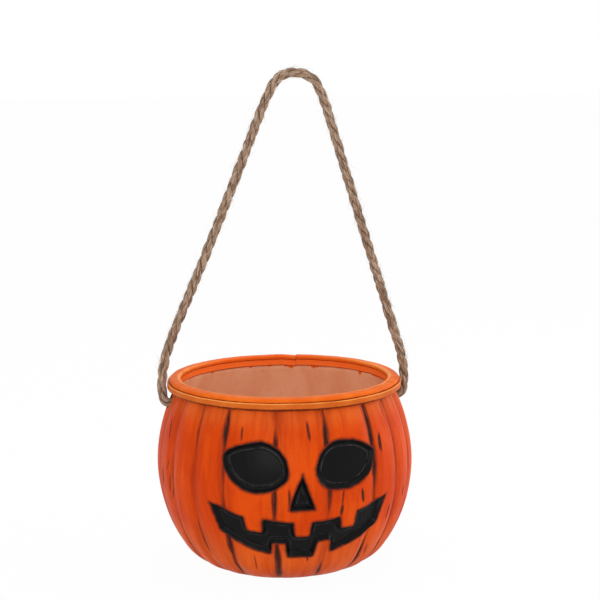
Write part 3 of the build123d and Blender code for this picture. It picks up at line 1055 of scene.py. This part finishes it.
def add_ring(name, parts, node):
    """A trim ring turned from closed sections, open at its seam and a little uneven."""
    gap = SEAM_GAP / 2 / BELLY_RADIUS
    turns = np.linspace(SEAM_AZIMUTH + gap, SEAM_AZIMUTH + 2 * pi - gap, RIM_STEPS)
    points, faces, indices, joint, worn = [], [], [], [], []
    for index, (section, _, joints, wear) in enumerate(parts):
        first = len(points)
        count = len(section)
        for turn in turns:
            wave = RIM_WAVE * ring_noise(turn, RIM_WAVE_PACE, len(name))
            ripple = RIM_RIPPLE * ring_noise(turn, RIM_RIPPLE_PACE, len(name))
            swell = RIM_SWELL * ring_noise(turn, RIM_SWELL_PACE, RIM_SWELL_LAYER)
            past_seam = (turn - SEAM_AZIMUTH) / SEAM_REACH
            lift = wave + ripple - SEAM_LIFT * (1 - smooth(past_seam))
            for radius, height in section:
                reach = radius + swell
                points.append((reach * sin(turn), -reach * cos(turn), height + lift))
        # Shares at each point of the joints' brown paint and painted shade, and of the painted
        # highlights.
        for shares, places in ((joint, joints), (worn, wear)):
            shares += [nearness(section, places)] * RIM_STEPS
        last = first + (RIM_STEPS - 1) * count
        sides = [face[::-1] for face in strip_faces(RIM_STEPS, count, first)]
        starting_end = [first + step for step in range(count)]
        closing_end = [last + step for step in reversed(range(count))]
        added = [*sides, starting_end, closing_end]
        faces += added
        indices += [index] * len(added)
    materials = [material for _, material, _, _ in parts]
    joint, worn = (np.concatenate(shares) for shares in (joint, worn))
    ring = make_piece(name, points, faces, materials, indices, joint=joint, worn=worn)
    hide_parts(node)
    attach(ring, "pail")


def add_rim():
    bead_low = SHELL_TOP - BEAD_DROP
    strip_inner = STRIP_OUTER - STRIP_THICK
    strip_top = strip_high.z + STRIP_RISE
    leg_low = SHELL_TOP - LEG_DROP
    bead = rounded_section(
        [
            (BEAD_INNER, bead_low, EDGE_ROUND),
            (BEAD_OUTER, bead_low, EDGE_ROUND),
            (BEAD_OUTER, BEAD_TOP - BEAD_SLOPE, BEAD_OUTER_ROUND),
            (BEAD_INNER, BEAD_TOP, BEAD_INNER_ROUND),
        ]
    )
    inner_leg = rounded_section(
        [
            (LEG_INNER, leg_low, EDGE_ROUND),
            (LEG_INNER + LEG_THICK, leg_low, EDGE_ROUND),
            (LEG_INNER + LEG_THICK, SHELL_TOP, EDGE_ROUND),
            (LEG_INNER, SHELL_TOP, EDGE_ROUND),
        ]
    )
    strip = rounded_section(
        [
            (strip_inner, strip_low.z, EDGE_ROUND),
            (STRIP_OUTER, strip_low.z, STRIP_ROUND),
            (STRIP_OUTER, strip_top, STRIP_ROUND),
            (strip_inner, strip_top, EDGE_ROUND),
        ]
    )

    orange = (tint(228, 98, 18), tint(236, 112, 28), tint(212, 82, 10), tint(236, 88, 18))
    # The inner leg's paint is a lighter copy of the edging's, a painted highlight where the leg
    # sits in shade inside the pail.
    bright = (tint(255, 112, 40), tint(255, 122, 48), tint(244, 98, 28), tint(255, 116, 46))
    yellowish = (tint(200, 94, 28), tint(210, 106, 38), tint(172, 68, 16), tint(200, 88, 24))
    edging = rim_paint("edging_paint", *orange)
    inside = rim_paint("edging_inside_paint", *bright)
    band = rim_paint("strip_paint", *yellowish)
    # Places of the brown joint paint and painted shade: where the bead, strip, leg and shell meet.
    bead_joints = [(BEAD_OUTER, bead_low, JOINT_REACH), (BEAD_INNER, bead_low, JOINT_REACH)]
    leg_joints = [(LEG_INNER, leg_low, JOINT_REACH)]
    strip_joints = [(BEAD_OUTER, strip_top, JOINT_REACH), (STRIP_OUTER, strip_low.z, JOINT_REACH)]
    # Places of the painted highlights: the bead's inner crest and the strip's shoulder.
    crest = [(BEAD_INNER + BEAD_INNER_ROUND / 2, BEAD_TOP, CREST_REACH)]
    shoulder = [(STRIP_OUTER, strip_top, SHOULDER_REACH)]
    parts = [(bead, edging, bead_joints, crest), (inner_leg, inside, leg_joints, [])]
    add_ring("edging", parts, "rim_cap")
    add_ring("strip", [(strip, band, strip_joints, shoulder)], "rim_band")


# Studio


def add_floor():
    paint = Paint(bpy.data.materials.new("pale_floor"))
    paint.tree.nodes.remove(paint.shader)
    pale = paint.add("BsdfDiffuse", {"Color": FLOOR_COLOUR})
    white = paint.add("Emission", {"Color": WHITE, "Strength": 1.0})
    share = paint.math("MULTIPLY", paint.seen(), FLOOR_WHITE_SHARE)
    paint.end("Material", paint.add("MixShader", {0: share, 1: pale, 2: white}))
    signs = [(-1, -1), (1, -1), (1, 1), (-1, 1)]
    corners = [(x * FLOOR_REACH, y * FLOOR_REACH, -FLOOR_GAP) for x, y in signs]
    make_piece("floor", corners, [(0, 1, 2, 3)], [paint.owner])


def add_world():
    """Soft light that grows towards the zenith, on a white backdrop."""
    paint = Paint(bpy.data.worlds.new("studio"))
    paint.tree.nodes.remove(paint.tree.nodes["Background"])
    climb = paint.add("SeparateXYZ", {0: paint.add("TexCoord", {}, "Generated")}, "Z")
    level = paint.add("MapRange", {"Value": climb, "To Min": HORIZON_LIGHT, "To Max": ZENITH_LIGHT})
    soft = paint.add("Background", {"Color": WHITE, "Strength": level})
    white = paint.add("Background", {"Color": WHITE, "Strength": 1.0})
    paint.end("World", paint.add("MixShader", {0: paint.seen(), 1: soft, 2: white}))
    scene.world = paint.owner


def add_light(name, place, size, power):
    data = bpy.data.lights.new(name, "AREA")
    data.size = size
    data.energy = power
    light = bpy.data.objects.new(name, data)
    target = Vector((0, 0, BELLY_HEIGHT))
    turn = (target - Vector(place)).to_track_quat("-Z", "Y")
    light.matrix_world = Matrix.LocRotScale(Vector(place), turn, None)
    scene.collection.objects.link(light)


scene.view_settings.view_transform = "Standard"
add_camera()
add_handle()
add_shell()
add_rim()
add_floor()
add_world()
for light in LIGHTS:
    add_light(*light)
